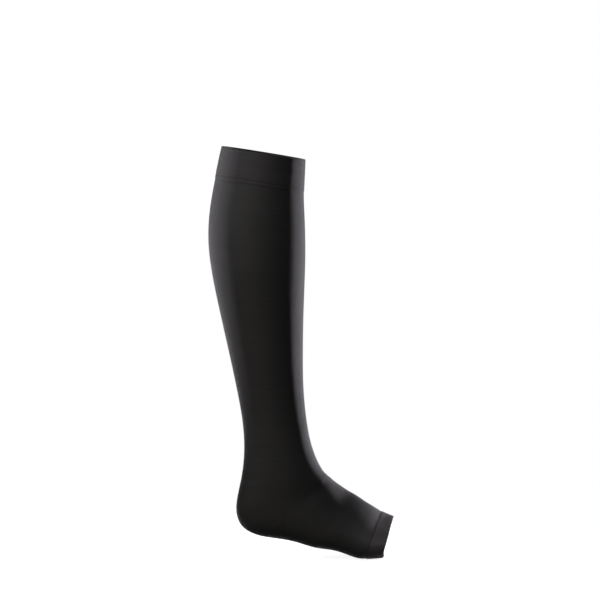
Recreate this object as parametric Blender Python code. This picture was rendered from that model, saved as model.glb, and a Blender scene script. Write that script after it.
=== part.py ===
"""Knee-high compression stocking with an open toe, for a right leg, in its worn form.

The origin is the middle of the top opening, where the wearer's leg holds the stocking up.
+X points to the toes, +Z up the leg, +Y to the inner (medial) side of the leg. Every size
below is in millimetres, and the finished meshes are in metres.

The cloth is one knitted tube. Its form is a run of sections, each a ring through a point on
the front line, a point on the back line and the widest points on the two sides. A fan of
rings turns the tube round the heel. The pieces are cut from that one form: the turned top
band, the leg in its three pressure zones, the heel gusset between its two gore lines, the
foot and the toe band.
"""
import math
from collections import namedtuple

import bmesh
import bpy
import numpy as np
from mathutils import Vector

MM = 0.001

# cloth
CLOTH = 1.2                # wall of the single knitted tube
TOP_BAND_WALL = 2.0        # cloth turned over once
TOP_BAND_RAISE = 0.4       # how far the top band stands out from the leg
TOE_BAND_WALL = 2.0
TOE_BAND_RAISE = 0.5
SEAM_GAP = 0.3             # between neighbouring pieces

# spacing of the mesh
COLUMNS = 12               # steps in a quarter turn round the leg
ROW_STEP = 11.5            # between rows, along the longer of the front and the back
BAND_STEP = 9.0
TIP = 0.03                 # quarter turns from the gore lines' meeting point to the gusset's tip
HEM_ANGLES = (20, 52, 90)  # degrees round the folded edge of a band

# One row for each section, down the leg and along the foot. front and back are the ring's
# ends in the side view, side is how far from front to back its widest points lie, lateral
# and medial are its half widths, ridge is how far the front or the dorsum peaks towards the
# medial side, lag is how far the lateral side lies behind the ring's plane, and roof and base
# are the exponents of the half with the front or the dorsum and of the half with the back or
# the sole (2 is an ellipse, more is blunter, less is flatter).
Section = namedtuple(
    "Section", "name front_x front_z back_x back_z side lateral medial ridge lag roof base")
SECTIONS = [
    Section("top rim",       45.7,   -7.5, -45.3,    7.2, 0.50, 46.6, 48.1,  0.0, 0.0, 2.00, 2.0),
    Section("band end",      44.2,  -43.0, -52.7,  -27.5, 0.51, 48.2, 50.2,  0.0, 0.0, 2.00, 2.0),
    Section("under knee",    45.2,  -74.0, -59.0,  -64.0, 0.52, 50.0, 52.5,  0.0, 0.0, 2.00, 2.0),
    Section("calf",          45.9, -107.0, -60.5,  -98.0, 0.53, 50.5, 53.0,  1.0, 0.0, 2.00, 2.0),
    Section("lower calf",    45.2, -140.0, -56.0, -136.0, 0.53, 48.0, 50.0,  2.0, 0.0, 2.00, 2.0),
    Section("mid leg",       43.8, -181.0, -46.8, -181.0, 0.52, 41.5, 42.5,  2.5, 0.0, 2.00, 2.0),
    Section("calf end",      43.2, -224.0, -37.0, -225.5, 0.51, 36.0, 36.5,  2.5, 0.0, 2.00, 2.0),
    Section("shin",          44.0, -262.0, -28.9, -264.5, 0.50, 31.0, 31.5,  2.0, 0.0, 2.00, 2.0),
    Section("small ankle",   47.4, -296.5, -23.2, -299.0, 0.50, 28.4, 28.6,  1.5, 0.0, 2.00, 2.2),
    Section("ankle",         53.0, -324.0, -21.8, -330.0, 0.50, 28.7, 29.0,  1.5, 0.0, 2.00, 2.5),
    Section("ankle bones",   60.3, -343.0, -24.4, -356.0, 0.50, 30.3, 30.8,  2.0, 0.0, 2.00, 2.8),
    Section("heel cord",     66.5, -353.0, -29.0, -379.0, 0.51, 30.6, 31.2,  2.5, 0.0, 2.00, 2.9),
    Section("heel back",     70.2, -356.8, -30.4, -397.5, 0.53, 30.4, 31.4,  3.0, 0.0, 2.00, 2.8),
    Section("heel turn",     71.8, -358.4, -25.0, -411.8, 0.54, 30.2, 31.6,  4.5, 0.0, 2.00, 2.6),
    Section("gore line",     73.4, -359.9, -12.0, -420.9, 0.56, 30.0, 32.0,  6.0, 0.0, 1.95, 2.5),
    Section("heel pad",      77.5, -364.0,  11.0, -426.0, 0.58, 30.0, 33.0,  8.5, 0.0, 1.90, 2.4),
    Section("arch",          84.5, -369.7,  35.0, -430.3, 0.61, 30.3, 34.5, 12.5, 0.0, 1.80, 2.4),
    Section("instep",        93.5, -376.2,  57.0, -436.6, 0.62, 31.0, 37.5, 15.5, 0.0, 1.70, 2.4),
    Section("mid foot",     104.0, -382.2,  78.0, -439.7, 0.62, 32.2, 43.0, 14.5, 0.5, 1.65, 2.4),
    Section("ball",         116.0, -390.1,  97.0, -445.7, 0.61, 34.0, 49.0, 13.0, 2.0, 1.60, 2.4),
    Section("toe root",     125.0, -396.0, 107.5, -448.3, 0.60, 34.3, 52.3, 15.0, 4.0, 1.60, 2.4),
    Section("toe seam",     131.2, -400.4, 114.5, -448.3, 0.59, 33.7, 53.0, 18.0, 5.3, 1.60, 2.4),
    Section("toe rim",      145.0, -406.7, 133.6, -447.1, 0.58, 31.0, 52.0, 20.0, 4.6, 1.65, 2.3),
]
GORE_SOLE_X = 18.9         # where the foot's gore line meets the middle of the sole

# The leg is one knitted tube. Its three pressure zones are solids of their own, because each
# then bends one way only.
LegZone = namedtuple("LegZone", "name top bottom")
LEG_ZONES = [
    LegZone("leg_calf", "band end", "calf end"),
    LegZone("leg_shin", "calf end", "ankle"),
    LegZone("leg_ankle", "ankle", "gore line"),
]


def stations():
    """How far down the tube each section lies, along the longer of its front and back."""
    marks = [0.0]
    for upper, lower in zip(SECTIONS, SECTIONS[1:]):
        front = math.hypot(lower.front_x - upper.front_x, lower.front_z - upper.front_z)
        back = math.hypot(lower.back_x - upper.back_x, lower.back_z - upper.back_z)
        marks.append(marks[-1] + max(front, back))
    return marks


STATIONS = stations()
STATION = dict(zip((section.name for section in SECTIONS), STATIONS))


def bending(values):
    """Second derivatives of the smooth curve through one column of the table."""
    marks = np.array(STATIONS)
    values = np.array(values)
    gaps = np.diff(marks)
    slopes = np.diff(values) / gaps
    count = len(marks)
    matrix = np.eye(count)
    known = np.zeros(count)
    for i in range(1, count - 1):
        matrix[i, i - 1:i + 2] = gaps[i - 1], 2 * (gaps[i - 1] + gaps[i]), gaps[i]
        known[i] = 6 * (slopes[i] - slopes[i - 1])
    return np.linalg.solve(matrix, known)


MEASURES = Section._fields[1:]
COLUMN = {field: [getattr(section, field) for section in SECTIONS] for field in MEASURES}
BEND = {field: bending(COLUMN[field]) for field in MEASURES}


def section_at(station):
    """The section at any station, read from smooth curves through the table."""
    i = int(np.clip(np.searchsorted(STATIONS, station) - 1, 0, len(STATIONS) - 2))
    gap = STATIONS[i + 1] - STATIONS[i]
    after = (station - STATIONS[i]) / gap
    before = 1 - after
    values = []
    for field in MEASURES:
        column, bend = COLUMN[field], BEND[field]
        line = before * column[i] + after * column[i + 1]
        curve = (before ** 3 - before) * bend[i] + (after ** 3 - after) * bend[i + 1]
        values.append(line + curve * gap * gap / 6)
    return Section("", *values)


def skin(station, turn):
    """Point on the outside of the cloth; turn is 0 in front, 1 lateral, 2 behind, 3 medial."""
    ring = section_at(station)
    angle = turn * math.pi / 2
    along, across = math.cos(angle), math.sin(angle)
    square = ring.roof if along > 0 else ring.base
    swell = (abs(along) ** square + abs(across) ** square) ** (-1 / square)
    reach = ring.side * (1 - along * swell)
    if along < 0:
        reach = ring.side - (1 - ring.side) * along * swell
    width = ring.lateral if across > 0 else ring.medial
    peak = ring.ridge * max(along, 0) ** 2
    return Vector((ring.front_x + (ring.back_x - ring.front_x) * reach
                   - ring.lag * max(across, 0) * swell,
                   peak - width * across * swell,
                   ring.front_z + (ring.back_z - ring.front_z) * reach))


def outward(station, turn):
    """Unit normal of the skin."""
    down = skin(station + 0.5, turn) - skin(station - 0.5, turn)
    around = skin(station, turn + 0.01) - skin(station, turn - 0.01)
    return around.cross(down).normalized()


def foot_gore(turn):
    """Station where the foot starts: on the gore line behind the sides, else with the leg."""
    start = STATION["gore line"]
    if not 1 < turn < 3:
        return start
    apex = skin(start, 1)
    low, high = start, STATION["instep"]
    sole_station = low
    while high - low > 0.001:
        sole_station = (low + high) / 2
        if skin(sole_station, 2).x < GORE_SOLE_X:
            low = sole_station
        else:
            high = sole_station
    sole = skin(sole_station, 2)
    low, high = start, sole_station + 1
    while high - low > 0.001:
        middle = (low + high) / 2
        point = skin(middle, turn)
        side = (sole.x - apex.x) * (point.z - apex.z) - (sole.z - apex.z) * (point.x - apex.x)
        if side < 0:
            low = middle
        else:
            high = middle
    return low


def steps(length, step):
    """Fractions from 0 to 1 that cut a length into even steps of about the given size."""
    count = max(2, round(length / step))
    return [i / count for i in range(count + 1)]


def quarter_turns(first, last):
    """Turns round the leg, COLUMNS to the quarter."""
    count = round((last - first) * COLUMNS)
    return [first + i / COLUMNS for i in range(count + 1)]


def material(name, colour, roughness):
    """Principled cloth material for one piece."""
    cloth = bpy.data.materials.new(name)
    cloth.use_nodes = True
    shader = cloth.node_tree.nodes["Principled BSDF"]
    shader.inputs["Base Color"].default_value = (*colour, 1)
    shader.inputs["Roughness"].default_value = roughness
    shader.inputs["Metallic"].default_value = 0.0
    return cloth


def add_piece(name, rows, is_tube, cloth):
    """A closed wall from rows of (outer point, inner point), as one named object."""
    mesh = bmesh.new()
    outer = [[mesh.verts.new(pair[0] * MM) for pair in row] for row in rows]
    inner = [[mesh.verts.new(pair[1] * MM) for pair in row] for row in rows]
    wide = len(rows[0])
    spans = [(i, (i + 1) % wide) for i in range(wide if is_tube else wide - 1)]
    for j in range(len(rows) - 1):
        for a, b in spans:
            mesh.faces.new((outer[j][a], outer[j + 1][a], outer[j + 1][b], outer[j][b]))
            mesh.faces.new((inner[j][b], inner[j + 1][b], inner[j + 1][a], inner[j][a]))
    for a, b in spans:
        mesh.faces.new((outer[0][b], inner[0][b], inner[0][a], outer[0][a]))
        mesh.faces.new((outer[-1][a], inner[-1][a], inner[-1][b], outer[-1][b]))
    if not is_tube:
        for j in range(len(rows) - 1):
            mesh.faces.new((outer[j][0], inner[j][0], inner[j + 1][0], outer[j + 1][0]))
            mesh.faces.new((outer[j + 1][-1], inner[j + 1][-1], inner[j][-1], outer[j][-1]))
    bmesh.ops.recalc_face_normals(mesh, faces=mesh.faces)
    data = bpy.data.meshes.new(name)
    mesh.to_mesh(data)
    mesh.free()
    data.shade_smooth()
    data.set_sharp_from_angle(angle=math.radians(50))
    data.materials.append(cloth)
    piece = bpy.data.objects.new(name, data)
    bpy.context.scene.collection.objects.link(piece)
    return piece


def cloth_row(stations_round, turns, raise_by, wall):
    """One row of (outer, inner) points, with the outside raised off the skin."""
    row = []
    for station, turn in zip(stations_round, turns):
        point, normal = skin(station, turn), outward(station, turn)
        row.append((point + normal * raise_by, point + normal * (raise_by - wall)))
    return row


def pull_back(row, neighbour, distance):
    """The row moved towards its neighbour, to leave half of the gap at a seam."""
    moved = []
    for pair, beside in zip(row, neighbour):
        way = (beside[0] - pair[0]).normalized() * distance
        moved.append((pair[0] + way, pair[1] + way))
    return moved


def seam_both_ends(rows):
    """Rows with half a seam's gap left at the first and the last."""
    rows[0] = pull_back(rows[0], rows[1], SEAM_GAP / 2)
    rows[-1] = pull_back(rows[-1], rows[-2], SEAM_GAP / 2)
    return rows


def add_band(name, rim, seam, raise_by, wall, cloth):
    """A turned band: its folded edge is round at the rim and its other edge meets a seam."""
    turns = quarter_turns(0, 4)[:-1]
    way = 1 if seam > rim else -1
    middle = raise_by - wall / 2
    rows = []
    for degrees in HEM_ANGLES:
        angle = math.radians(degrees)
        station = rim + way * wall / 2 * (1 - math.cos(angle))
        half = wall / 2 * math.sin(angle)
        rows.append(cloth_row([station] * len(turns), turns, middle + half, 2 * half))
    start = rim + way * wall / 2
    for fraction in steps(abs(seam - start), BAND_STEP)[1:]:
        station = start + (seam - start) * fraction
        rows.append(cloth_row([station] * len(turns), turns, raise_by, wall))
    rows[-1] = pull_back(rows[-1], rows[-2], SEAM_GAP / 2)
    return add_piece(name, rows, True, cloth)


def add_tube(name, start_of, end, step, cloth):
    """A tube of single cloth from start_of(turn) down to the end station."""
    turns = quarter_turns(0, 4)[:-1]
    starts = [start_of(turn) for turn in turns]
    rows = []
    for fraction in steps(end - min(starts), step):
        rows.append(cloth_row([start + (end - start) * fraction for start in starts],
                              turns, 0.0, CLOTH))
    return add_piece(name, seam_both_ends(rows), True, cloth)


def add_gusset(name, cloth):
    """The wedge of cloth under the heel, between the leg's gore line and the foot's."""
    turns = [1 + TIP] + quarter_turns(1, 3)[1:-1] + [3 - TIP]
    top = STATION["gore line"]
    rows = []
    for fraction in steps(STATION["heel pad"] - top, ROW_STEP / 2):
        rows.append(cloth_row([top + (foot_gore(turn) - top) * fraction for turn in turns],
                              turns, 0.0, CLOTH))
    return add_piece(name, seam_both_ends(rows), False, cloth)


def build():
    """Model the whole stocking."""
    for thing in list(bpy.context.scene.objects):
        bpy.data.objects.remove(thing, do_unlink=True)
    body = (0.017, 0.017, 0.018)
    add_band("top_band", STATION["top rim"], STATION["band end"], TOP_BAND_RAISE,
             TOP_BAND_WALL, material("top band knit", (0.022, 0.022, 0.024), 0.62))
    for zone in LEG_ZONES:
        top = STATION[zone.top]
        add_tube(zone.name, lambda turn: top, STATION[zone.bottom], ROW_STEP,
                 material(zone.name + " knit", body, 0.6))
    add_gusset("heel_gusset", material("heel knit", (0.015, 0.015, 0.016), 0.65))
    add_tube("foot", foot_gore, STATION["toe seam"], ROW_STEP, material("foot knit", body, 0.6))
    add_band("toe_band", STATION["toe rim"], STATION["toe seam"], TOE_BAND_RAISE,
             TOE_BAND_WALL, material("toe band knit", (0.022, 0.022, 0.024), 0.62))


build()
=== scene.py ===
"""Looks of a knee-high compression stocking with an open toe, worn, for a right leg.

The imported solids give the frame: +X to the toes, +Z up the leg, +Y to the medial side, with
the origin in the middle of the top opening. Each solid wall is replaced by a finer knitted
one on the same form. Rows of real stitches lie on the seams, and the knit itself, which is
finer than a millimetre, is relief in the cloth's material. Sizes are in millimetres unless a
comment says otherwise.
"""
import math
from collections import namedtuple

import bpy
import numpy as np
from mathutils import Matrix, Vector


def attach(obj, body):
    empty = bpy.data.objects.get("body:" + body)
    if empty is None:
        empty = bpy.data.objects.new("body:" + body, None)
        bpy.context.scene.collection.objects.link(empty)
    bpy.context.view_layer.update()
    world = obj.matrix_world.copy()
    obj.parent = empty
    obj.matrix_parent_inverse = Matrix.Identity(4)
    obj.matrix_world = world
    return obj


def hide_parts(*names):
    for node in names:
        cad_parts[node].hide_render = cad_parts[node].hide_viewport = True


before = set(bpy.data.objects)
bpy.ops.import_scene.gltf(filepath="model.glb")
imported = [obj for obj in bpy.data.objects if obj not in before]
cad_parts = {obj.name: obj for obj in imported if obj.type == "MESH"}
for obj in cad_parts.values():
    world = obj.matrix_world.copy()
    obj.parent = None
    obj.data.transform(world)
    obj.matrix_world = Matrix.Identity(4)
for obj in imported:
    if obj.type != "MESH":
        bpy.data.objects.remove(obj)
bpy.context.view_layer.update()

MM = 0.001                 # metres

# ---------------------------------------------------------------- cloth and hem sizes
CLOTH = 1.2                # wall of the single knitted tube
TOP_BAND_WALL = 2.0        # cloth turned over once
TOP_BAND_RAISE = 0.4       # how far the top band stands out from the leg
TOE_BAND_WALL = 2.0
TOE_BAND_RAISE = 0.5
WELT_LINE_DROP = 4.4       # from the band's lower edge up to its closing course
BAND_BULGE = 0.25          # how far a turned band swells between its edges
BULGE_POWER = 0.7          # 1 swells as a bow does, less is fuller next to the edges
SEAM_SINK = 0.35           # depth of the groove in which a seam's stitches lie
SEAM_REACH = 0.55          # how far from a seam its groove is still a third as deep
GORE_SHARE = 0.55          # depth of a gore line's groove, as a share of a seam's
WELT_SHARE = 0.55          # the same for the two fine lines at the foot of the top band
GORE_SOLE_X = 18.9         # where the foot's gore line meets the middle of the sole
TIP = 0.006                # quarter turns from the gore lines' meeting point to the gusset

# ---------------------------------------------------------------- knit and thread
NEEDLES = 300              # wales round the leg; a fine cylinder has about 400
COURSE = 0.85              # height of a course; the real one is about 0.5
YARN_WANDER = 1.1          # stitches over which the yarn leans one way
YARN_LEAN = 0.35           # how many courses it leans by
LEG_SLANT = 1.3            # courses that a loop's leg would rise over a whole wale
LOOP_SWELL = 0.3           # how much lower a wale lies between two loops than on one
LEG_ROUND = 0.6            # 1 makes a loop's legs sharp ridges, less makes them rounder
LEVEL_LINE = 250, 3.1      # wales along and courses across a tighter or looser stretch
FIBRE_ENDS = 0.55          # between the fibre ends that stand out of the yarn; really 0.2
PATCH = 36.0               # across the faint lighter and darker patches of the dye
KNIT_RELIEF = 0.16         # how high a loop stands
THREAD_TWIST = 0.38        # length of a turn of the sewing thread
THREAD_RELIEF = 0.08
THREAD_SINK = 0.1          # how far the middle of the thread lies in its groove
LOOP_SEED = 7              # for the small differences between the thread's loops

# ---------------------------------------------------------------- mesh spacing
COLUMNS = 46               # steps in a quarter turn
ROW_STEP = 2.4
SEAM_ROWS = 0.0, 0.35, 0.7, 1.1, 1.7    # the rows next to a seam, by how far off it they are
BAND_ROW_STEP = 0.55
FOLD_ROWS = 8              # rows round the fold at a band's rim
FOLD_START = 8             # degrees round the fold of the first of them
CREASE_STEPS = 15          # places along a crease
COURSE_PLACES = 900        # places down the tube at which the courses are counted
SLOPE_DOWN = 0.3           # steps by which a form's slope is found
SLOPE_ROUND = 0.004        # in quarter turns
SOLE_PLACES = 400          # places along the heel's sole at which the gore line is looked for
HALVINGS = 24              # of the stretch that it crosses, at the other turns

# One row for each section, down the leg and along the foot, as in the solids. front and back
# are the ring's ends in the side view, side is how far from front to back its widest points
# lie, lateral and medial are its half widths, ridge is how far the front or the dorsum peaks
# towards the medial side, lag is how far the lateral side lies behind the ring's plane, and
# roof and base are the exponents of the half with the front or the dorsum and of the half
# with the back or the sole (2 is an ellipse, more is blunter, less is flatter).
Section = namedtuple(
    "Section", "name front_x front_z back_x back_z side lateral medial ridge lag roof base")
SECTIONS = [
    Section("top rim",       45.7,   -7.5, -45.3,    7.2, 0.50, 46.6, 48.1,  0.0, 0.0, 2.00, 2.0),
    Section("band end",      44.2,  -43.0, -52.7,  -27.5, 0.51, 48.2, 50.2,  0.0, 0.0, 2.00, 2.0),
    Section("under knee",    45.2,  -74.0, -59.0,  -64.0, 0.52, 50.0, 52.5,  0.0, 0.0, 2.00, 2.0),
    Section("calf",          45.9, -107.0, -60.5,  -98.0, 0.53, 50.5, 53.0,  1.0, 0.0, 2.00, 2.0),
    Section("lower calf",    45.2, -140.0, -56.0, -136.0, 0.53, 48.0, 50.0,  2.0, 0.0, 2.00, 2.0),
    Section("mid leg",       43.8, -181.0, -46.8, -181.0, 0.52, 41.5, 42.5,  2.5, 0.0, 2.00, 2.0),
    Section("calf end",      43.2, -224.0, -37.0, -225.5, 0.51, 36.0, 36.5,  2.5, 0.0, 2.00, 2.0),
    Section("shin",          44.0, -262.0, -28.9, -264.5, 0.50, 31.0, 31.5,  2.0, 0.0, 2.00, 2.0),
    Section("small ankle",   47.4, -296.5, -23.2, -299.0, 0.50, 28.4, 28.6,  1.5, 0.0, 2.00, 2.2),
    Section("ankle",         53.0, -324.0, -21.8, -330.0, 0.50, 28.7, 29.0,  1.5, 0.0, 2.00, 2.5),
    Section("ankle bones",   60.3, -343.0, -24.4, -356.0, 0.50, 30.3, 30.8,  2.0, 0.0, 2.00, 2.8),
    Section("heel cord",     66.5, -353.0, -29.0, -379.0, 0.51, 30.6, 31.2,  2.5, 0.0, 2.00, 2.9),
    Section("heel back",     70.2, -356.8, -30.4, -397.5, 0.53, 30.4, 31.4,  3.0, 0.0, 2.00, 2.8),
    Section("heel turn",     71.8, -358.4, -25.0, -411.8, 0.54, 30.2, 31.6,  4.5, 0.0, 2.00, 2.6),
    Section("gore line",     73.4, -359.9, -12.0, -420.9, 0.56, 30.0, 32.0,  6.0, 0.0, 1.95, 2.5),
    Section("heel pad",      77.5, -364.0,  11.0, -426.0, 0.58, 30.0, 33.0,  8.5, 0.0, 1.90, 2.4),
    Section("arch",          84.5, -369.7,  35.0, -430.3, 0.61, 30.3, 34.5, 12.5, 0.0, 1.80, 2.4),
    Section("instep",        93.5, -376.2,  57.0, -436.6, 0.62, 31.0, 37.5, 15.5, 0.0, 1.70, 2.4),
    Section("mid foot",     104.0, -382.2,  78.0, -439.7, 0.62, 32.2, 43.0, 14.5, 0.5, 1.65, 2.4),
    Section("ball",         116.0, -390.1,  97.0, -445.7, 0.61, 34.0, 49.0, 13.0, 2.0, 1.60, 2.4),
    Section("toe root",     125.0, -396.0, 107.5, -448.3, 0.60, 34.3, 52.3, 15.0, 4.0, 1.60, 2.4),
    Section("toe seam",     131.2, -400.4, 114.5, -448.3, 0.59, 33.7, 53.0, 18.0, 5.3, 1.60, 2.4),
    Section("toe rim",      145.0, -406.7, 133.6, -447.1, 0.58, 31.0, 52.0, 20.0, 4.6, 1.65, 2.3),
]


# ---------------------------------------------------------------- the stocking's form
def stations():
    """How far down the tube each section lies, along the longer of its front and back."""
    marks = [0.0]
    for upper, lower in zip(SECTIONS, SECTIONS[1:]):
        front = math.hypot(lower.front_x - upper.front_x, lower.front_z - upper.front_z)
        back = math.hypot(lower.back_x - upper.back_x, lower.back_z - upper.back_z)
        marks.append(marks[-1] + max(front, back))
    return np.array(marks)


STATIONS = stations()
STATION = dict(zip((section.name for section in SECTIONS), STATIONS))


def bending(values):
    """Second derivatives of the smooth curve through one column of the table."""
    gaps = np.diff(STATIONS)
    slopes = np.diff(values) / gaps
    count = len(STATIONS)
    matrix = np.eye(count)
    known = np.zeros(count)
    for i in range(1, count - 1):
        matrix[i, i - 1:i + 2] = gaps[i - 1], 2 * (gaps[i - 1] + gaps[i]), gaps[i]
        known[i] = 6 * (slopes[i] - slopes[i - 1])
    return np.linalg.solve(matrix, known)


MEASURES = Section._fields[1:]
COLUMN = {field: np.array([getattr(s, field) for s in SECTIONS]) for field in MEASURES}
BEND = {field: bending(COLUMN[field]) for field in MEASURES}


def sections_at(station):
    """The sections at an array of stations, read from smooth curves through the table."""
    i = np.clip(np.searchsorted(STATIONS, station) - 1, 0, len(STATIONS) - 2)
    gap = STATIONS[i + 1] - STATIONS[i]
    after = (station - STATIONS[i]) / gap
    before = 1 - after
    values = []
    for field in MEASURES:
        column, bend = COLUMN[field], BEND[field]
        line = before * column[i] + after * column[i + 1]
        curve = (before ** 3 - before) * bend[i] + (after ** 3 - after) * bend[i + 1]
        values.append(line + curve * gap * gap / 6)
    return Section("", *values)


def skin(station, turn):
    """Points on the outside of the cloth; turn is 0 in front, 1 lateral, 2 behind, 3 medial."""
    station, turn = np.broadcast_arrays(np.asarray(station, float), np.asarray(turn, float))
    ring = sections_at(station)
    angle = turn * math.pi / 2
    along, across = np.cos(angle), np.sin(angle)
    square = np.where(along > 0, ring.roof, ring.base)
    swell = (np.abs(along) ** square + np.abs(across) ** square) ** (-1 / square)
    reach = ring.side - np.where(along > 0, ring.side, 1 - ring.side) * along * swell
    width = np.where(across > 0, ring.lateral, ring.medial)
    peak = ring.ridge * np.maximum(along, 0) ** 2
    return np.stack([ring.front_x + (ring.back_x - ring.front_x) * reach
                     - ring.lag * np.maximum(across, 0) * swell,
                     peak - width * across * swell,
                     ring.front_z + (ring.back_z - ring.front_z) * reach], axis=-1)


def unit(vectors):
    """The vectors at length 1."""
    return vectors / np.linalg.norm(vectors, axis=-1, keepdims=True)


def outward(form, station, turn):
    """Unit normals of a form that is given as a function of station and turn."""
    down = form(station + SLOPE_DOWN, turn) - form(station - SLOPE_DOWN, turn)
    around = form(station, turn + SLOPE_ROUND) - form(station, turn - SLOPE_ROUND)
    return unit(np.cross(around, down))


def foot_gore(turn):
    """Stations where the foot starts: on the gore line behind the sides, else with the leg."""
    turn = np.asarray(turn, float)
    start = STATION["gore line"]
    apex = skin(start, 1.0)
    heel_sole = np.linspace(start, STATION["instep"], SOLE_PLACES)
    sole_station = np.interp(GORE_SOLE_X, skin(heel_sole, 2.0)[:, 0], heel_sole)
    sole = skin(sole_station, 2.0)
    low = np.full(turn.shape, start)
    high = np.full(turn.shape, sole_station + 1)
    for _ in range(HALVINGS):
        middle = (low + high) / 2
        point = skin(middle, turn)
        side = ((sole[0] - apex[0]) * (point[..., 2] - apex[2])
                - (sole[2] - apex[2]) * (point[..., 0] - apex[0]))
        low = np.where(side < 0, middle, low)
        high = np.where(side < 0, high, middle)
    return np.where((turn > 1) & (turn < 3), low, start)


# Soft creases of the worn cloth, each a trough from one place to another on the skin.
Crease = namedtuple("Crease", "station turn end_station end_turn depth width")
CREASES = [
    Crease(STATION["heel turn"] - 4, 0.62, STATION["arch"] + 4, 0.50, 0.30, 2.2),
    Crease(STATION["heel turn"] - 6, -0.60, STATION["arch"] - 2, -0.46, 0.26, 2.4),
    Crease(STATION["heel cord"], -0.34, STATION["heel cord"] + 5, 0.30, 0.22, 2.6),
    Crease(STATION["heel back"] + 6, -0.26, STATION["heel back"] + 8, 0.36, 0.20, 2.4),
    Crease(STATION["ankle bones"] + 8, 1.72, STATION["ankle bones"] + 2, 2.30, 0.18, 3.2),
]


def crease_relief(point):
    """How deep the creases sink the cloth at points of the skin."""
    sunk = np.zeros(point.shape[:-1])
    for crease in CREASES:
        steps = np.linspace(0, 1, CREASE_STEPS)
        middle = skin(crease.station + (crease.end_station - crease.station) * steps,
                      crease.turn + (crease.end_turn - crease.turn) * steps)
        for place, share in zip(middle, np.sin(steps * math.pi)):
            distance = np.linalg.norm(point - place, axis=-1)
            trough = crease.depth * share * np.exp(-(distance / crease.width) ** 2)
            sunk = np.maximum(sunk, trough)
    return -sunk


def groove(distance):
    """How deep a seam's groove is at a distance from the seam, as a share of its depth."""
    return np.exp(-(distance / SEAM_REACH) ** 2)


def seam_share(station, turn):
    """Grooves of the single cloth: at the seams of the bands and along both gore lines."""
    point = skin(station, turn)
    sole = skin(foot_gore(np.array(2.0)), 2.0)
    apex = skin(STATION["gore line"], 1.0)
    heel = skin(STATION["gore line"], 2.0)
    sunk = np.maximum(WELT_SHARE * groove(station - STATION["band end"]),
                      groove(station - STATION["toe seam"]))
    behind = (turn > 1) & (turn < 3)
    for end in (sole, heel):
        line = unit(np.array([end[0] - apex[0], end[2] - apex[2]]))
        away = ((point[..., 0] - apex[0]) * line[1] - (point[..., 2] - apex[2]) * line[0])
        sunk = np.maximum(sunk, np.where(behind, GORE_SHARE * groove(away), 0.0))
    return sunk


def cloth_form(station, turn):
    """The outside of the single cloth, with its creases and seam grooves."""
    point = skin(station, turn)
    relief = crease_relief(point) - SEAM_SINK * seam_share(station, turn)
    return point + outward(skin, station, turn) * relief[..., None]


def band_lines(lines):
    """Grooves of a turned band; each line of stitches has its station and its share."""
    def sunk(station, turn):
        return sum(share * groove(station - line) for line, share in lines) + 0 * turn
    return sunk


def band_form(rim, seam, raise_by, lines):
    """The outside of a turned band: it swells between its edges and sinks at its stitches."""
    def form(station, turn):
        share = np.clip((station - rim) / (seam - rim), 0, 1)
        lift = raise_by + BAND_BULGE * np.sin(share * math.pi) ** BULGE_POWER
        lift = lift - SEAM_SINK * band_lines(lines)(station, turn)
        return skin(station, turn) + outward(skin, station, turn) * lift[..., None]
    return form


# ---------------------------------------------------------------- colours and nodes
MATH, NOISE, MIX = "ShaderNodeMath", "ShaderNodeTexNoise", "ShaderNodeMix"


def linear(hex_colour):
    """Linear RGBA from an sRGB hex colour."""
    parts = [int(hex_colour[i:i + 2], 16) / 255 for i in (1, 3, 5)]
    return (*[p / 12.92 if p <= 0.04045 else ((p + 0.055) / 1.055) ** 2.4 for p in parts], 1)


def per_metre(size):
    """Scale of a noise whose features have a size in millimetres."""
    return 1 / (size * MM)


def add(tree, kind, inputs=None, **settings):
    """Add a node with its settings; an input is a value, or a socket or node to link from."""
    node = tree.nodes.new(kind)
    for name, value in settings.items():
        setattr(node, name, value)
    for key, value in (inputs or {}).items():
        if isinstance(value, bpy.types.Node):
            value = next(socket for socket in value.outputs if socket.enabled)
        if isinstance(value, bpy.types.NodeSocket):
            tree.links.new(value, node.inputs[key])
        else:
            node.inputs[key].default_value = value
    return node


def new_material(name):
    """An empty material and its tree."""
    material = bpy.data.materials.new(name)
    material.use_nodes = True
    material.node_tree.nodes.clear()
    return material, material.node_tree


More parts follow.
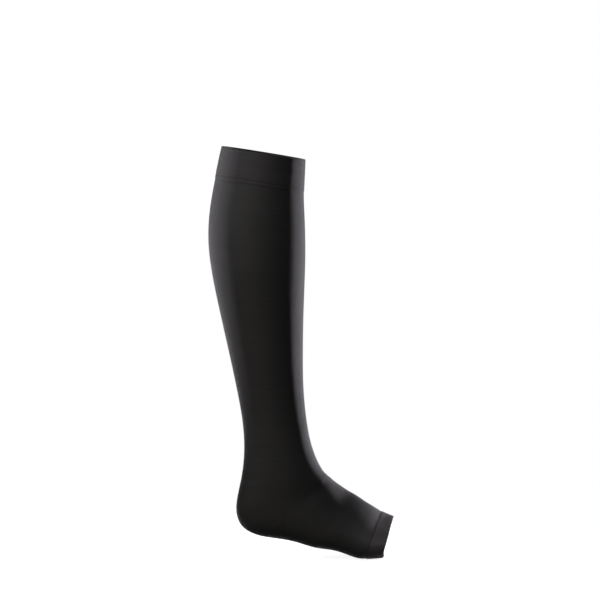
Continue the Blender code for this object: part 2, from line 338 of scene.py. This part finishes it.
# ---------------------------------------------------------------- materials
def stitch_loops(tree, knit):
    """How high the loops of a plain knit stand, 0 between two wales and 1 on top of a loop."""
    number = add(tree, "ShaderNodeSeparateXYZ", {0: knit})
    # yarn is never quite even, so each stitch leans and swells a little
    wander = add(tree, NOISE, {"Vector": knit, "Scale": 1 / YARN_WANDER, "Detail": 1.0})
    course = add(tree, MATH, {0: wander, 1: -YARN_LEAN, 2: number.outputs["Y"]},
                 operation="MULTIPLY_ADD")
    across = add(tree, MATH, {0: number.outputs["X"]}, operation="FRACT")
    across = add(tree, MATH, {0: across, 1: 0.5}, operation="SUBTRACT")
    across = add(tree, MATH, {0: across}, operation="ABSOLUTE")
    # the two legs of a loop slant to the middle of their wale, so a wale is a column of V
    slant = add(tree, MATH, {0: across, 1: -LEG_SLANT, 2: course}, operation="MULTIPLY_ADD")
    slant = add(tree, MATH, {0: slant, 1: 2 * math.pi}, operation="MULTIPLY")
    wave = add(tree, MATH, {0: slant}, operation="COSINE")
    along = add(tree, MATH, {0: wave, 1: LOOP_SWELL, 2: 1 - LOOP_SWELL},
                operation="MULTIPLY_ADD")
    # a leg is highest a quarter of a wale from the middle
    leg = add(tree, MATH, {0: across, 1: 0.25}, operation="SUBTRACT")
    leg = add(tree, MATH, {0: leg}, operation="ABSOLUTE")
    leg = add(tree, MATH, {0: leg, 1: -4.0, 2: 1.0}, operation="MULTIPLY_ADD")
    leg = add(tree, MATH, {0: leg, 1: LEG_ROUND}, operation="POWER")
    return add(tree, MATH, {0: leg, 1: along}, operation="MULTIPLY")


def weighed(tree, start, patterns):
    """Start, and each pattern times its weight, added up."""
    for pattern, weight in patterns:
        start = add(tree, MATH, {0: pattern, 1: weight, 2: start}, operation="MULTIPLY_ADD")
    return start


def knitted_polyamide(name, dark, light, relief, stripes):
    """Black polyamide and elastane in plain knit.

    Matt yarn with a soft nap, so the eye gets a near-black face and a grey rim where the
    cloth turns away. The columns of V stitches are drawn about 1.4 times their real size.
    relief is how strong the loops stand out, and stripes how strong the level lines show.
    """
    material, tree = new_material(name)
    knit = add(tree, "ShaderNodeUVMap", uv_map="knit")
    loops = stitch_loops(tree, knit)
    # courses that are knitted a little tighter or looser show as fine level lines
    wales, courses = LEVEL_LINE
    level = add(tree, "ShaderNodeMapping", {"Vector": knit, "Scale": (
        1 / wales, 1 / courses, 1.0)})
    lines = add(tree, NOISE, {"Vector": level, "Scale": 1.0, "Detail": 3.0, "Roughness": 0.7})
    # short fibre ends soften the face, and the dye takes a little unevenly
    place = add(tree, "ShaderNodeTexCoord").outputs["Object"]
    fluff = add(tree, NOISE, {"Vector": place, "Scale": per_metre(FIBRE_ENDS), "Detail": 2.0})
    cloud = add(tree, NOISE, {"Vector": place, "Scale": per_metre(PATCH), "Detail": 2.0})
    # the tone is how far the yarn is from the dark colour to the light one; the loops' tops
    # are painted lighter and the gaps between them darker, a painted highlight and painted
    # shade of the knit's relief, while level lines, fibre ends and dye patches vary at random
    tone = weighed(tree, -0.32 - 0.55 * stripes, (
        (loops, 0.45), (lines, 1.1 * stripes), (fluff, 0.5), (cloud, 0.3)))
    face = add(tree, MIX, {"Factor": tone, "A": linear(dark), "B": linear(light)},
               data_type="RGBA", clamp_factor=True)
    # painted shade: in the grooves of the seams, gore lines and welt lines the base colour
    # is drawn towards near black, as far as the seam attribute says
    groove_shade = add(tree, "ShaderNodeAttribute", attribute_name="seam").outputs["Fac"]
    colour = add(tree, MIX, {"Factor": groove_shade, "A": face, "B": linear("#020202")},
                 data_type="RGBA")
    height = weighed(tree, loops, ((fluff, 0.35), (lines, 0.9 * stripes)))
    bump = add(tree, "ShaderNodeBump", {"Height": height, "Strength": 0.55 * relief,
                                        "Distance": KNIT_RELIEF * MM})
    shader = add(tree, "ShaderNodeBsdfPrincipled", {
        "Base Color": colour, "Roughness": weighed(tree, 0.74, ((loops, -0.08),)), "IOR": 1.5,
        "Specular IOR Level": 0.22, "Sheen Weight": 0.6, "Sheen Roughness": 0.25,
        "Sheen Tint": linear("#d1ccd4"), "Normal": bump})
    add(tree, "ShaderNodeOutputMaterial", {"Surface": shader})
    return material


def stitching_thread():
    """Black twisted polyamide thread, as matt as the knit, so its seam reads as a dark line."""
    material, tree = new_material("twisted polyamide thread")
    place = add(tree, "ShaderNodeTexCoord").outputs["Object"]
    twist = add(tree, NOISE, {"Vector": place, "Scale": per_metre(THREAD_TWIST),
                              "Detail": 1.0})
    colour = add(tree, MIX, {"Factor": twist, "A": linear("#080808"), "B": linear("#131314")},
                 data_type="RGBA")
    bump = add(tree, "ShaderNodeBump", {"Height": twist, "Strength": 0.4,
                                        "Distance": THREAD_RELIEF * MM})
    shader = add(tree, "ShaderNodeBsdfPrincipled", {
        "Base Color": colour, "Roughness": 0.7, "IOR": 1.5, "Specular IOR Level": 0.12,
        "Normal": bump})
    add(tree, "ShaderNodeOutputMaterial", {"Surface": shader})
    return material


def lit_acrylic():
    """White acrylic lit from below, so it takes hardly any shadow; it fades out at its rim.

    It throws little light back up, as if the stocking stood well above it, so the sole
    stays dark.
    """
    material, tree = new_material("white acrylic floor lit from below")
    place = add(tree, "ShaderNodeTexCoord").outputs["Object"]
    centred = add(tree, "ShaderNodeMapping", {
        "Vector": place, "Location": (-FLOOR_MIDDLE_X, 0.0, -FLOOR_Z)})
    distance = add(tree, "ShaderNodeVectorMath", {0: centred}, operation="LENGTH")
    fade_from, fade_to = FLOOR_FADE
    fade = add(tree, "ShaderNodeMapRange", {"Value": distance, "From Min": fade_from,
                                            "From Max": fade_to},
               interpolation_type="SMOOTHSTEP")
    speck = add(tree, NOISE, {"Vector": place, "Scale": per_metre(FLOOR_SPECK),
                              "Detail": 4.0})
    white = add(tree, MIX, {"Factor": speck, "A": linear("#f4f4f4"), "B": linear("#fafafa")},
                data_type="RGBA")
    seen = add(tree, "ShaderNodeLightPath").outputs["Is Camera Ray"]
    thrown = add(tree, MIX, {"Factor": seen, "A": linear("#6d6d6d"), "B": white},
                 data_type="RGBA")
    top = add(tree, "ShaderNodeBsdfDiffuse", {"Color": thrown})
    glow = add(tree, "ShaderNodeEmission", {
        "Strength": add(tree, MATH, {0: seen, 1: FLOOR_GLOW}, operation="MULTIPLY")})
    sheet = add(tree, "ShaderNodeAddShader", {0: top, 1: glow})
    clear = add(tree, "ShaderNodeBsdfTransparent")
    mixed = add(tree, "ShaderNodeMixShader", {"Fac": fade, 1: sheet, 2: clear})
    add(tree, "ShaderNodeOutputMaterial", {"Surface": mixed})
    return material


# ---------------------------------------------------------------- knitted walls
def course_numbers():
    """Stations and the number of courses knitted down to each, at the side and the back."""
    marks = np.linspace(0, STATIONS[-1], COURSE_PLACES)
    run = np.zeros(len(marks))
    for turn in (1.0, 2.0):
        steps = np.linalg.norm(np.diff(skin(marks, turn), axis=0), axis=1)
        run[1:] += np.cumsum(steps) / 2
    return marks, run / COURSE


COURSE_MARKS, COURSE_COUNT = course_numbers()


def knit_uv(station, turn):
    """Wale and course numbers, for the UV map of the knit."""
    return np.stack([turn / 4 * NEEDLES, np.interp(station, COURSE_MARKS, COURSE_COUNT)], -1)


def even(first, last, step):
    """Even steps from first to last, of about the given size."""
    return np.linspace(first, last, max(2, round(abs(last - first) / step)) + 1)


def seam_to_seam(length):
    """Shares from 0 to 1 of a length of cloth, close together next to the seams at its ends."""
    near = np.array(SEAM_ROWS)
    inner = even(near[-1], length - near[-1], ROW_STEP)[1:-1]
    return np.concatenate([near, inner, (length - near)[::-1]])[:, None] / length


def all_round():
    """Turns of the columns of a tube, where the last column is the first again."""
    return np.linspace(0, 4, 4 * COLUMNS + 1)


def wall(name, layers, uv, groove_shade, is_tube, material):
    """A closed wall through layers[side][row][column], side 0 outside and side 1 inside.

    Each layer is (points, normals). The two sides share their rims. The argument after uv
    is how much painted shade lies in a seam's groove at each row and column; it is kept as
    the seam attribute for the material.
    """
    (outer, outer_normal), (inner, inner_normal) = layers
    rows, columns = outer.shape[:2]
    wide = columns - 1 if is_tube else columns
    points = np.concatenate([outer[:, :wide].reshape(-1, 3), inner[:, :wide].reshape(-1, 3)])
    normals = np.concatenate([outer_normal[:, :wide].reshape(-1, 3),
                              inner_normal[:, :wide].reshape(-1, 3)])
    faces, face_uv = [], []

    def place(side, j, i):
        return (side * rows + j) * wide + (i % wide if is_tube else i)

    def quad(*corners):
        faces.append([place(*corner) for corner in corners])
        face_uv.extend(uv[j, i] for side, j, i in corners)

    for j in range(rows - 1):
        for i in range(columns - 1):
            quad((0, j, i), (0, j, i + 1), (0, j + 1, i + 1), (0, j + 1, i))
            quad((1, j + 1, i), (1, j + 1, i + 1), (1, j, i + 1), (1, j, i))
    for i in range(columns - 1):
        quad((0, 0, i), (1, 0, i), (1, 0, i + 1), (0, 0, i + 1))
        quad((0, rows - 1, i + 1), (1, rows - 1, i + 1), (1, rows - 1, i), (0, rows - 1, i))
    if not is_tube:
        last = columns - 1
        for j in range(rows - 1):
            quad((0, j + 1, 0), (1, j + 1, 0), (1, j, 0), (0, j, 0))
            quad((0, j, last), (1, j, last), (1, j + 1, last), (0, j + 1, last))
    mesh = bpy.data.meshes.new(name)
    mesh.from_pydata((points * MM).tolist(), [], faces)
    layer = mesh.uv_layers.new(name="knit")
    layer.data.foreach_set("uv", np.array(face_uv, np.float32).ravel())
    # the seam attribute carries the painted shade of the seams' grooves to the knit material
    seam = mesh.attributes.new("seam", "FLOAT", "POINT")
    seam.data.foreach_set("value", np.tile(groove_shade[:, :wide].ravel(), 2).astype(np.float32))
    mesh.shade_smooth()
    mesh.normals_split_custom_set_from_vertices(normals.tolist())
    mesh.materials.append(material)
    piece = bpy.data.objects.new(name, mesh)
    bpy.context.scene.collection.objects.link(piece)
    return piece


def single_cloth(name, station, turn, is_tube, material):
    """A wall of single cloth over a grid of stations and turns."""
    point = cloth_form(station, turn)
    normal = outward(cloth_form, station, turn)
    layers = (point, normal), (point - normal * CLOTH, -normal)
    # the seams' grooves also set how much painted shade the cloth gets
    return wall(name, layers, knit_uv(station, turn), seam_share(station, turn), is_tube,
                material)


def knit_leg(material):
    """The leg, from the top band down to the upper gore line."""
    turn = all_round()
    length = STATION["gore line"] - STATION["band end"]
    station = STATION["band end"] + length * seam_to_seam(length)
    return single_cloth("knit_leg", station + 0 * turn, turn + 0 * station, True, material)


def knit_foot(material):
    """The foot, from the gore line and the front of the ankle to the toe seam."""
    turn = all_round()
    start = foot_gore(turn)
    share = seam_to_seam(STATION["toe seam"] - STATION["gore line"])
    station = start + (STATION["toe seam"] - start) * share
    return single_cloth("knit_foot", station, turn + 0 * share, True, material)


def knit_heel_gusset(material):
    """The wedge under the heel, between the two gore lines."""
    turn = np.linspace(1, 3, 2 * COLUMNS + 1)
    turn[0], turn[-1] = 1 + TIP, 3 - TIP
    top = STATION["gore line"]
    share = seam_to_seam(foot_gore(np.array(2.0)) - top)
    station = top + (foot_gore(turn) - top) * share
    return single_cloth("knit_heel_gusset", station, turn + 0 * share, False, material)


def turned_band(name, rim, seam, raise_by, thick, lines, material):
    """A band of doubled cloth whose rim is a round fold."""
    turn = all_round()
    form = band_form(rim, seam, raise_by, lines)
    way = 1 if seam > rim else -1
    fold = np.radians(np.linspace(FOLD_START, 90, FOLD_ROWS))
    flat = even(rim + way * thick / 2, seam, BAND_ROW_STEP)[1:]
    station = np.concatenate([rim + way * thick / 2 * (1 - np.cos(fold)), flat])[:, None]
    half = np.concatenate([thick / 2 * np.sin(fold), np.full(len(flat), thick / 2)])
    station, turn = np.broadcast_arrays(station, turn)
    half = half[:, None, None]
    face, normal = form(station, turn), outward(form, station, turn)
    middle = face - normal * thick / 2
    outer, inner = middle + normal * half, middle - normal * half
    lean = np.zeros((len(station), 1, 1))
    lean[:len(fold), 0, 0] = np.cos(fold)
    off_rim = unit(skin(station - way * 0.5, turn) - skin(station, turn))
    flatness = np.sqrt(1 - lean ** 2)
    layers = ((outer, normal * flatness + off_rim * lean),
              (inner, -normal * flatness + off_rim * lean))
    # the band's stitch lines also set how much painted shade its grooves get
    uv, groove_shade = knit_uv(station, turn), band_lines(lines)(station, turn)
    if way < 0:
        layers = [(point[::-1], normals[::-1]) for point, normals in layers]
        uv, groove_shade = uv[::-1], groove_shade[::-1]
    return wall(name, layers, uv, groove_shade, True, material)


# ---------------------------------------------------------------- stitches
LOOP_SIDES = 12
THREAD_SIDES = 5
# sizes of a row of stitches, in millimetres, and how far a loop leans, in radians
CLOSING_COURSE = {"Pitch": 1.5, "Loop length": 1.7, "Loop width": 0.7, "Thread": 0.13}
TOE_SEAM = {"Pitch": 1.9, "Loop length": 2.3, "Loop width": 1.0, "Thread": 0.17}
GORE_LINE = {"Pitch": 2.1, "Loop length": 1.5, "Loop width": 0.5, "Thread": 0.13, "Lean": 1.0}


def stitch_tree():
    """Geometry nodes that lay closed thread loops along a line on the cloth."""
    tree = bpy.data.node_groups.new("row of stitches", "GeometryNodeTree")
    face = tree.interface
    face.new_socket("Line", in_out="INPUT", socket_type="NodeSocketGeometry")
    for name, value in (("Pitch", 2.0), ("Loop length", 2.2), ("Loop width", 0.9),
                        ("Thread", 0.16), ("Lean", 0.0), ("Uneven", 0.08)):
        socket = face.new_socket(name, in_out="INPUT", socket_type="NodeSocketFloat")
        socket.default_value = value
    face.new_socket("Thread material", in_out="INPUT", socket_type="NodeSocketMaterial")
    face.new_socket("Stitches", in_out="OUTPUT", socket_type="NodeSocketGeometry")
    given = add(tree, "NodeGroupInput").outputs
    metres = {name: add(tree, MATH, {0: given[name], 1: MM}, operation="MULTIPLY")
              for name in ("Pitch", "Loop length", "Loop width", "Thread")}

    line = add(tree, "GeometryNodeMeshToCurve", {"Mesh": given["Line"]})
    spaced = add(tree, "GeometryNodeResampleCurve", {"Curve": line, "Length": metres["Pitch"]},
                 mode="LENGTH")
    out = add(tree, "GeometryNodeInputNamedAttribute", {"Name": "outward"},
              data_type="FLOAT_VECTOR")
    upright = add(tree, "FunctionNodeAlignRotationToVector", {"Vector": out}, axis="Z")
    along = add(tree, "GeometryNodeInputTangent")
    facing = add(tree, "FunctionNodeAlignRotationToVector", {
        "Rotation": upright, "Vector": along}, axis="X", pivot_axis="Z")
    lean = add(tree, "FunctionNodeAxisAngleToRotation", {"Axis": (0, 0, 1),
                                                         "Angle": given["Lean"]})
    turned = add(tree, "FunctionNodeRotateRotation", {"Rotation": facing, "Rotate By": lean},
                 rotation_space="LOCAL")
    ring = add(tree, "GeometryNodeCurvePrimitiveCircle", {"Resolution": LOOP_SIDES,
                                                          "Radius": 0.5})
    size = add(tree, "ShaderNodeCombineXYZ", {0: metres["Loop length"],
                                              1: metres["Loop width"], 2: 1.0})
    oval = add(tree, "GeometryNodeTransform", {"Geometry": ring, "Scale": size})
    round_thread = add(tree, "GeometryNodeCurvePrimitiveCircle", {
        "Resolution": THREAD_SIDES, "Radius": metres["Thread"]})
    loop = add(tree, "GeometryNodeCurveToMesh", {"Curve": oval,
                                                 "Profile Curve": round_thread})
    low = add(tree, MATH, {0: 1.0, 1: given["Uneven"]}, operation="SUBTRACT")
    high = add(tree, MATH, {0: 1.0, 1: given["Uneven"]}, operation="ADD")
    uneven = add(tree, "FunctionNodeRandomValue", {2: low, 3: high, "Seed": LOOP_SEED},
                 data_type="FLOAT")
    placed = add(tree, "GeometryNodeInstanceOnPoints", {
        "Points": spaced, "Instance": loop, "Rotation": turned, "Scale": uneven})
    real = add(tree, "GeometryNodeRealizeInstances", {"Geometry": placed})
    smooth = add(tree, "GeometryNodeSetShadeSmooth", {"Geometry": real})
    done = add(tree, "GeometryNodeSetMaterial", {"Geometry": smooth,
                                                 "Material": given["Thread material"]})
    add(tree, "NodeGroupOutput", {"Stitches": done})
    return tree


def stitch_row(name, tree, station, turn, sizes, material):
    """A row of stitches in a groove of the cloth, along stations and turns, as a plain mesh."""
    closed = np.isclose(turn[-1] - turn[0], 4)
    if closed:
        station, turn = station[:-1], turn[:-1]
    normal = outward(cloth_form, station, turn)
    point = cloth_form(station, turn) - normal * THREAD_SINK
    count = len(point)
    links = [(i, (i + 1) % count) for i in range(count if closed else count - 1)]
    mesh = bpy.data.meshes.new(name)
    mesh.from_pydata((point * MM).tolist(), links, [])
    out = mesh.attributes.new("outward", "FLOAT_VECTOR", "POINT")
    out.data.foreach_set("vector", normal.astype(np.float32).ravel())
    row = bpy.data.objects.new(name, mesh)
    bpy.context.scene.collection.objects.link(row)
    laid = row.modifiers.new("stitches", "NODES")
    laid.node_group = tree
    values = dict(sizes, **{"Thread material": material})
    for item in tree.interface.items_tree:
        if item.in_out == "INPUT" and item.name in values:
            laid[item.identifier] = values[item.name]
    row.update_tag()
    bpy.context.view_layer.update()
    ready = row.evaluated_get(bpy.context.evaluated_depsgraph_get())
    row_mesh = bpy.data.meshes.new_from_object(ready)
    row.modifiers.remove(laid)
    row.data = row_mesh
    row_mesh.name = name
    return row


# ---------------------------------------------------------------- stage, in metres
FLOOR_Z = -0.4492
FLOOR_MIDDLE_X = 0.05
FLOOR_RADIUS = 0.42
FLOOR_FADE = 0.30 * FLOOR_RADIUS, 0.98 * FLOOR_RADIUS
FLOOR_GLOW = 0.9           # its own light to the eye, where 1 is white
FLOOR_SPECK = 17.0         # millimetres across the faint cloudiness of the acrylic
WORLD_LIGHT = 0.02         # of the even light from all round
CAMERA_PLACE = (0.040, -2.5, 0.04)
CAMERA_AIM = (0.040, 0.0, -0.162)
PICTURE_WIDTH = 0.66       # across the picture at the aim
SENSOR_WIDTH = 36.0        # millimetres
WHOLE = (0.03, 0.0, -0.25)
CALF = (0.03, 0.0, -0.05)
TOES = (0.130, -0.035, -0.410)

# Soft boxes round the stocking, each aimed at a point. Azimuth is in degrees from the camera's
# side, positive to the toes' side, and the light stands that way from the point and so high
# above it. spread is how wide the grid on its front lets the light out, in degrees.
SoftBox = namedtuple(
    "SoftBox", "name aim azimuth elevation distance wide high spread watts colour")
SOFT_BOXES = [
    SoftBox("right_rim", WHOLE, 134, -2, 1.25, 0.18, 0.60, 180, 18.6, "#fcf7ff"),
    SoftBox("left_rim", CALF, -122, 0, 1.25, 0.40, 0.40, 12, 0.45, "#fcf7ff"),
    SoftBox("key", WHOLE, -41, 40, 1.00, 0.60, 0.60, 180, 9.9, "#fffdfd"),
    SoftBox("low_fill", WHOLE, -30, -6, 1.60, 0.80, 0.30, 180, 6.9, "#fff6ec"),
    SoftBox("right_side", WHOLE, 100, 12, 1.25, 0.35, 0.50, 180, 1.1, "#fcf7ff"),
    SoftBox("toe_spot", TOES, 8, 25, 0.40, 0.03, 0.03, 9, 0.007, "#fcf7ff"),
]


def studio_floor():
    """A pale round floor just under the ball of the foot."""
    bpy.ops.mesh.primitive_circle_add(vertices=96, radius=FLOOR_RADIUS, fill_type="NGON")
    floor = bpy.context.object
    floor.name = "studio_floor"
    floor.data.transform(Matrix.Translation((FLOOR_MIDDLE_X, 0, FLOOR_Z)))
    floor.data.materials.append(lit_acrylic())


def soft_box(box):
    """A soft box that the camera doesn't see."""
    data = bpy.data.lights.new(box.name, "AREA")
    data.shape = "RECTANGLE"
    data.size, data.size_y = box.wide, box.high
    data.spread = math.radians(box.spread)
    data.energy = box.watts
    data.color = linear(box.colour)[:3]
    light = bpy.data.objects.new(box.name, data)
    round_it, up = math.radians(box.azimuth), math.radians(box.elevation)
    away = Vector((math.cos(up) * math.sin(round_it), -math.cos(up) * math.cos(round_it),
                   math.sin(up)))
    light.location = Vector(box.aim) + away * box.distance
    light.rotation_euler = away.to_track_quat("Z", "Y").to_euler()
    light.visible_camera = False
    bpy.context.scene.collection.objects.link(light)


def studio_world():
    """White to the camera, and a dim even grey as light."""
    world = bpy.data.worlds.new("studio")
    bpy.context.scene.world = world
    world.use_nodes = True
    tree = world.node_tree
    tree.nodes.clear()
    white = linear("#ffffff")
    shown = add(tree, "ShaderNodeBackground", {"Color": white, "Strength": 1.0})
    light = add(tree, "ShaderNodeBackground", {"Color": white, "Strength": WORLD_LIGHT})
    seen = add(tree, "ShaderNodeLightPath").outputs["Is Camera Ray"]
    mixed = add(tree, "ShaderNodeMixShader", {"Fac": seen, 1: light, 2: shown})
    add(tree, "ShaderNodeOutputWorld", {"Surface": mixed})


def studio_camera():
    """The camera, just higher than the top rim and looking a little down."""
    data = bpy.data.cameras.new("camera")
    camera = bpy.data.objects.new("camera", data)
    way = Vector(CAMERA_AIM) - Vector(CAMERA_PLACE)
    camera.location = CAMERA_PLACE
    camera.rotation_euler = way.to_track_quat("-Z", "Y").to_euler()
    data.sensor_width = SENSOR_WIDTH
    data.lens = data.sensor_width * way.length / PICTURE_WIDTH
    bpy.context.scene.collection.objects.link(camera)
    bpy.context.scene.camera = camera


# ---------------------------------------------------------------- the whole stocking
def seam_stitches():
    """The rows of stitches that show: along the band's edge, the toe seam and both gore lines."""
    tree, thread = stitch_tree(), stitching_thread()
    turn = all_round()
    back = np.linspace(1 + TIP, 3 - TIP, 4 * COLUMNS + 1)
    for name, station, turns, sizes in (
            ("top_band_closing_stitches", turn * 0 + STATION["band end"], turn, CLOSING_COURSE),
            ("toe_seam_stitches", turn * 0 + STATION["toe seam"], turn, TOE_SEAM),
            ("upper_gore_stitches", back * 0 + STATION["gore line"], back, GORE_LINE),
            ("lower_gore_stitches", foot_gore(back), back, GORE_LINE)):
        row = stitch_row(name, tree, station, turns, sizes, thread)
        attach(row, "root")


def dress():
    """Make every piece and tie it to the frame."""
    plain = knitted_polyamide("fine black plain knit", "#0f0f0f", "#201f1f", 1.0, 0.65)
    heel = knitted_polyamide("dense black heel knit", "#0e0e0e", "#1e1d1d", 1.1, 0.6)
    double = knitted_polyamide("doubled black band knit", "#121111", "#242224", 1.0, 0.75)
    # the toe hem's knit is painted lighter than the leg's, painted light for the light that the
    # doubled toe band catches
    hem = knitted_polyamide("doubled black toe knit painted lighter", "#141313", "#292726", 1.0, 0.5)

    leg = knit_leg(plain)
    gusset = knit_heel_gusset(heel)
    foot = knit_foot(plain)
    band_end, toe_seam = STATION["band end"], STATION["toe seam"]
    welt_lines = (band_end - WELT_LINE_DROP, WELT_SHARE), (band_end, WELT_SHARE)
    top_band = turned_band("turned_top_band", STATION["top rim"], band_end, TOP_BAND_RAISE,
                           TOP_BAND_WALL, welt_lines, double)
    toe_band = turned_band("toe_hem", STATION["toe rim"], toe_seam, TOE_BAND_RAISE,
                           TOE_BAND_WALL, ((toe_seam, 1.0),), hem)
    for piece, slot, *nodes in ((leg, "leg_knit", "leg_calf", "leg_shin", "leg_ankle"),
                                (gusset, "heel_knit", "heel_gusset"),
                                (foot, "leg_knit", "foot"),
                                (top_band, "band_knit", "top_band"),
                                (toe_band, "band_knit", "toe_band")):
        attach(piece, "root")
        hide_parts(*nodes)
    seam_stitches()


bpy.context.scene.view_settings.view_transform = "Standard"
dress()
studio_floor()
for box in SOFT_BOXES:
    soft_box(box)
studio_world()
studio_camera()
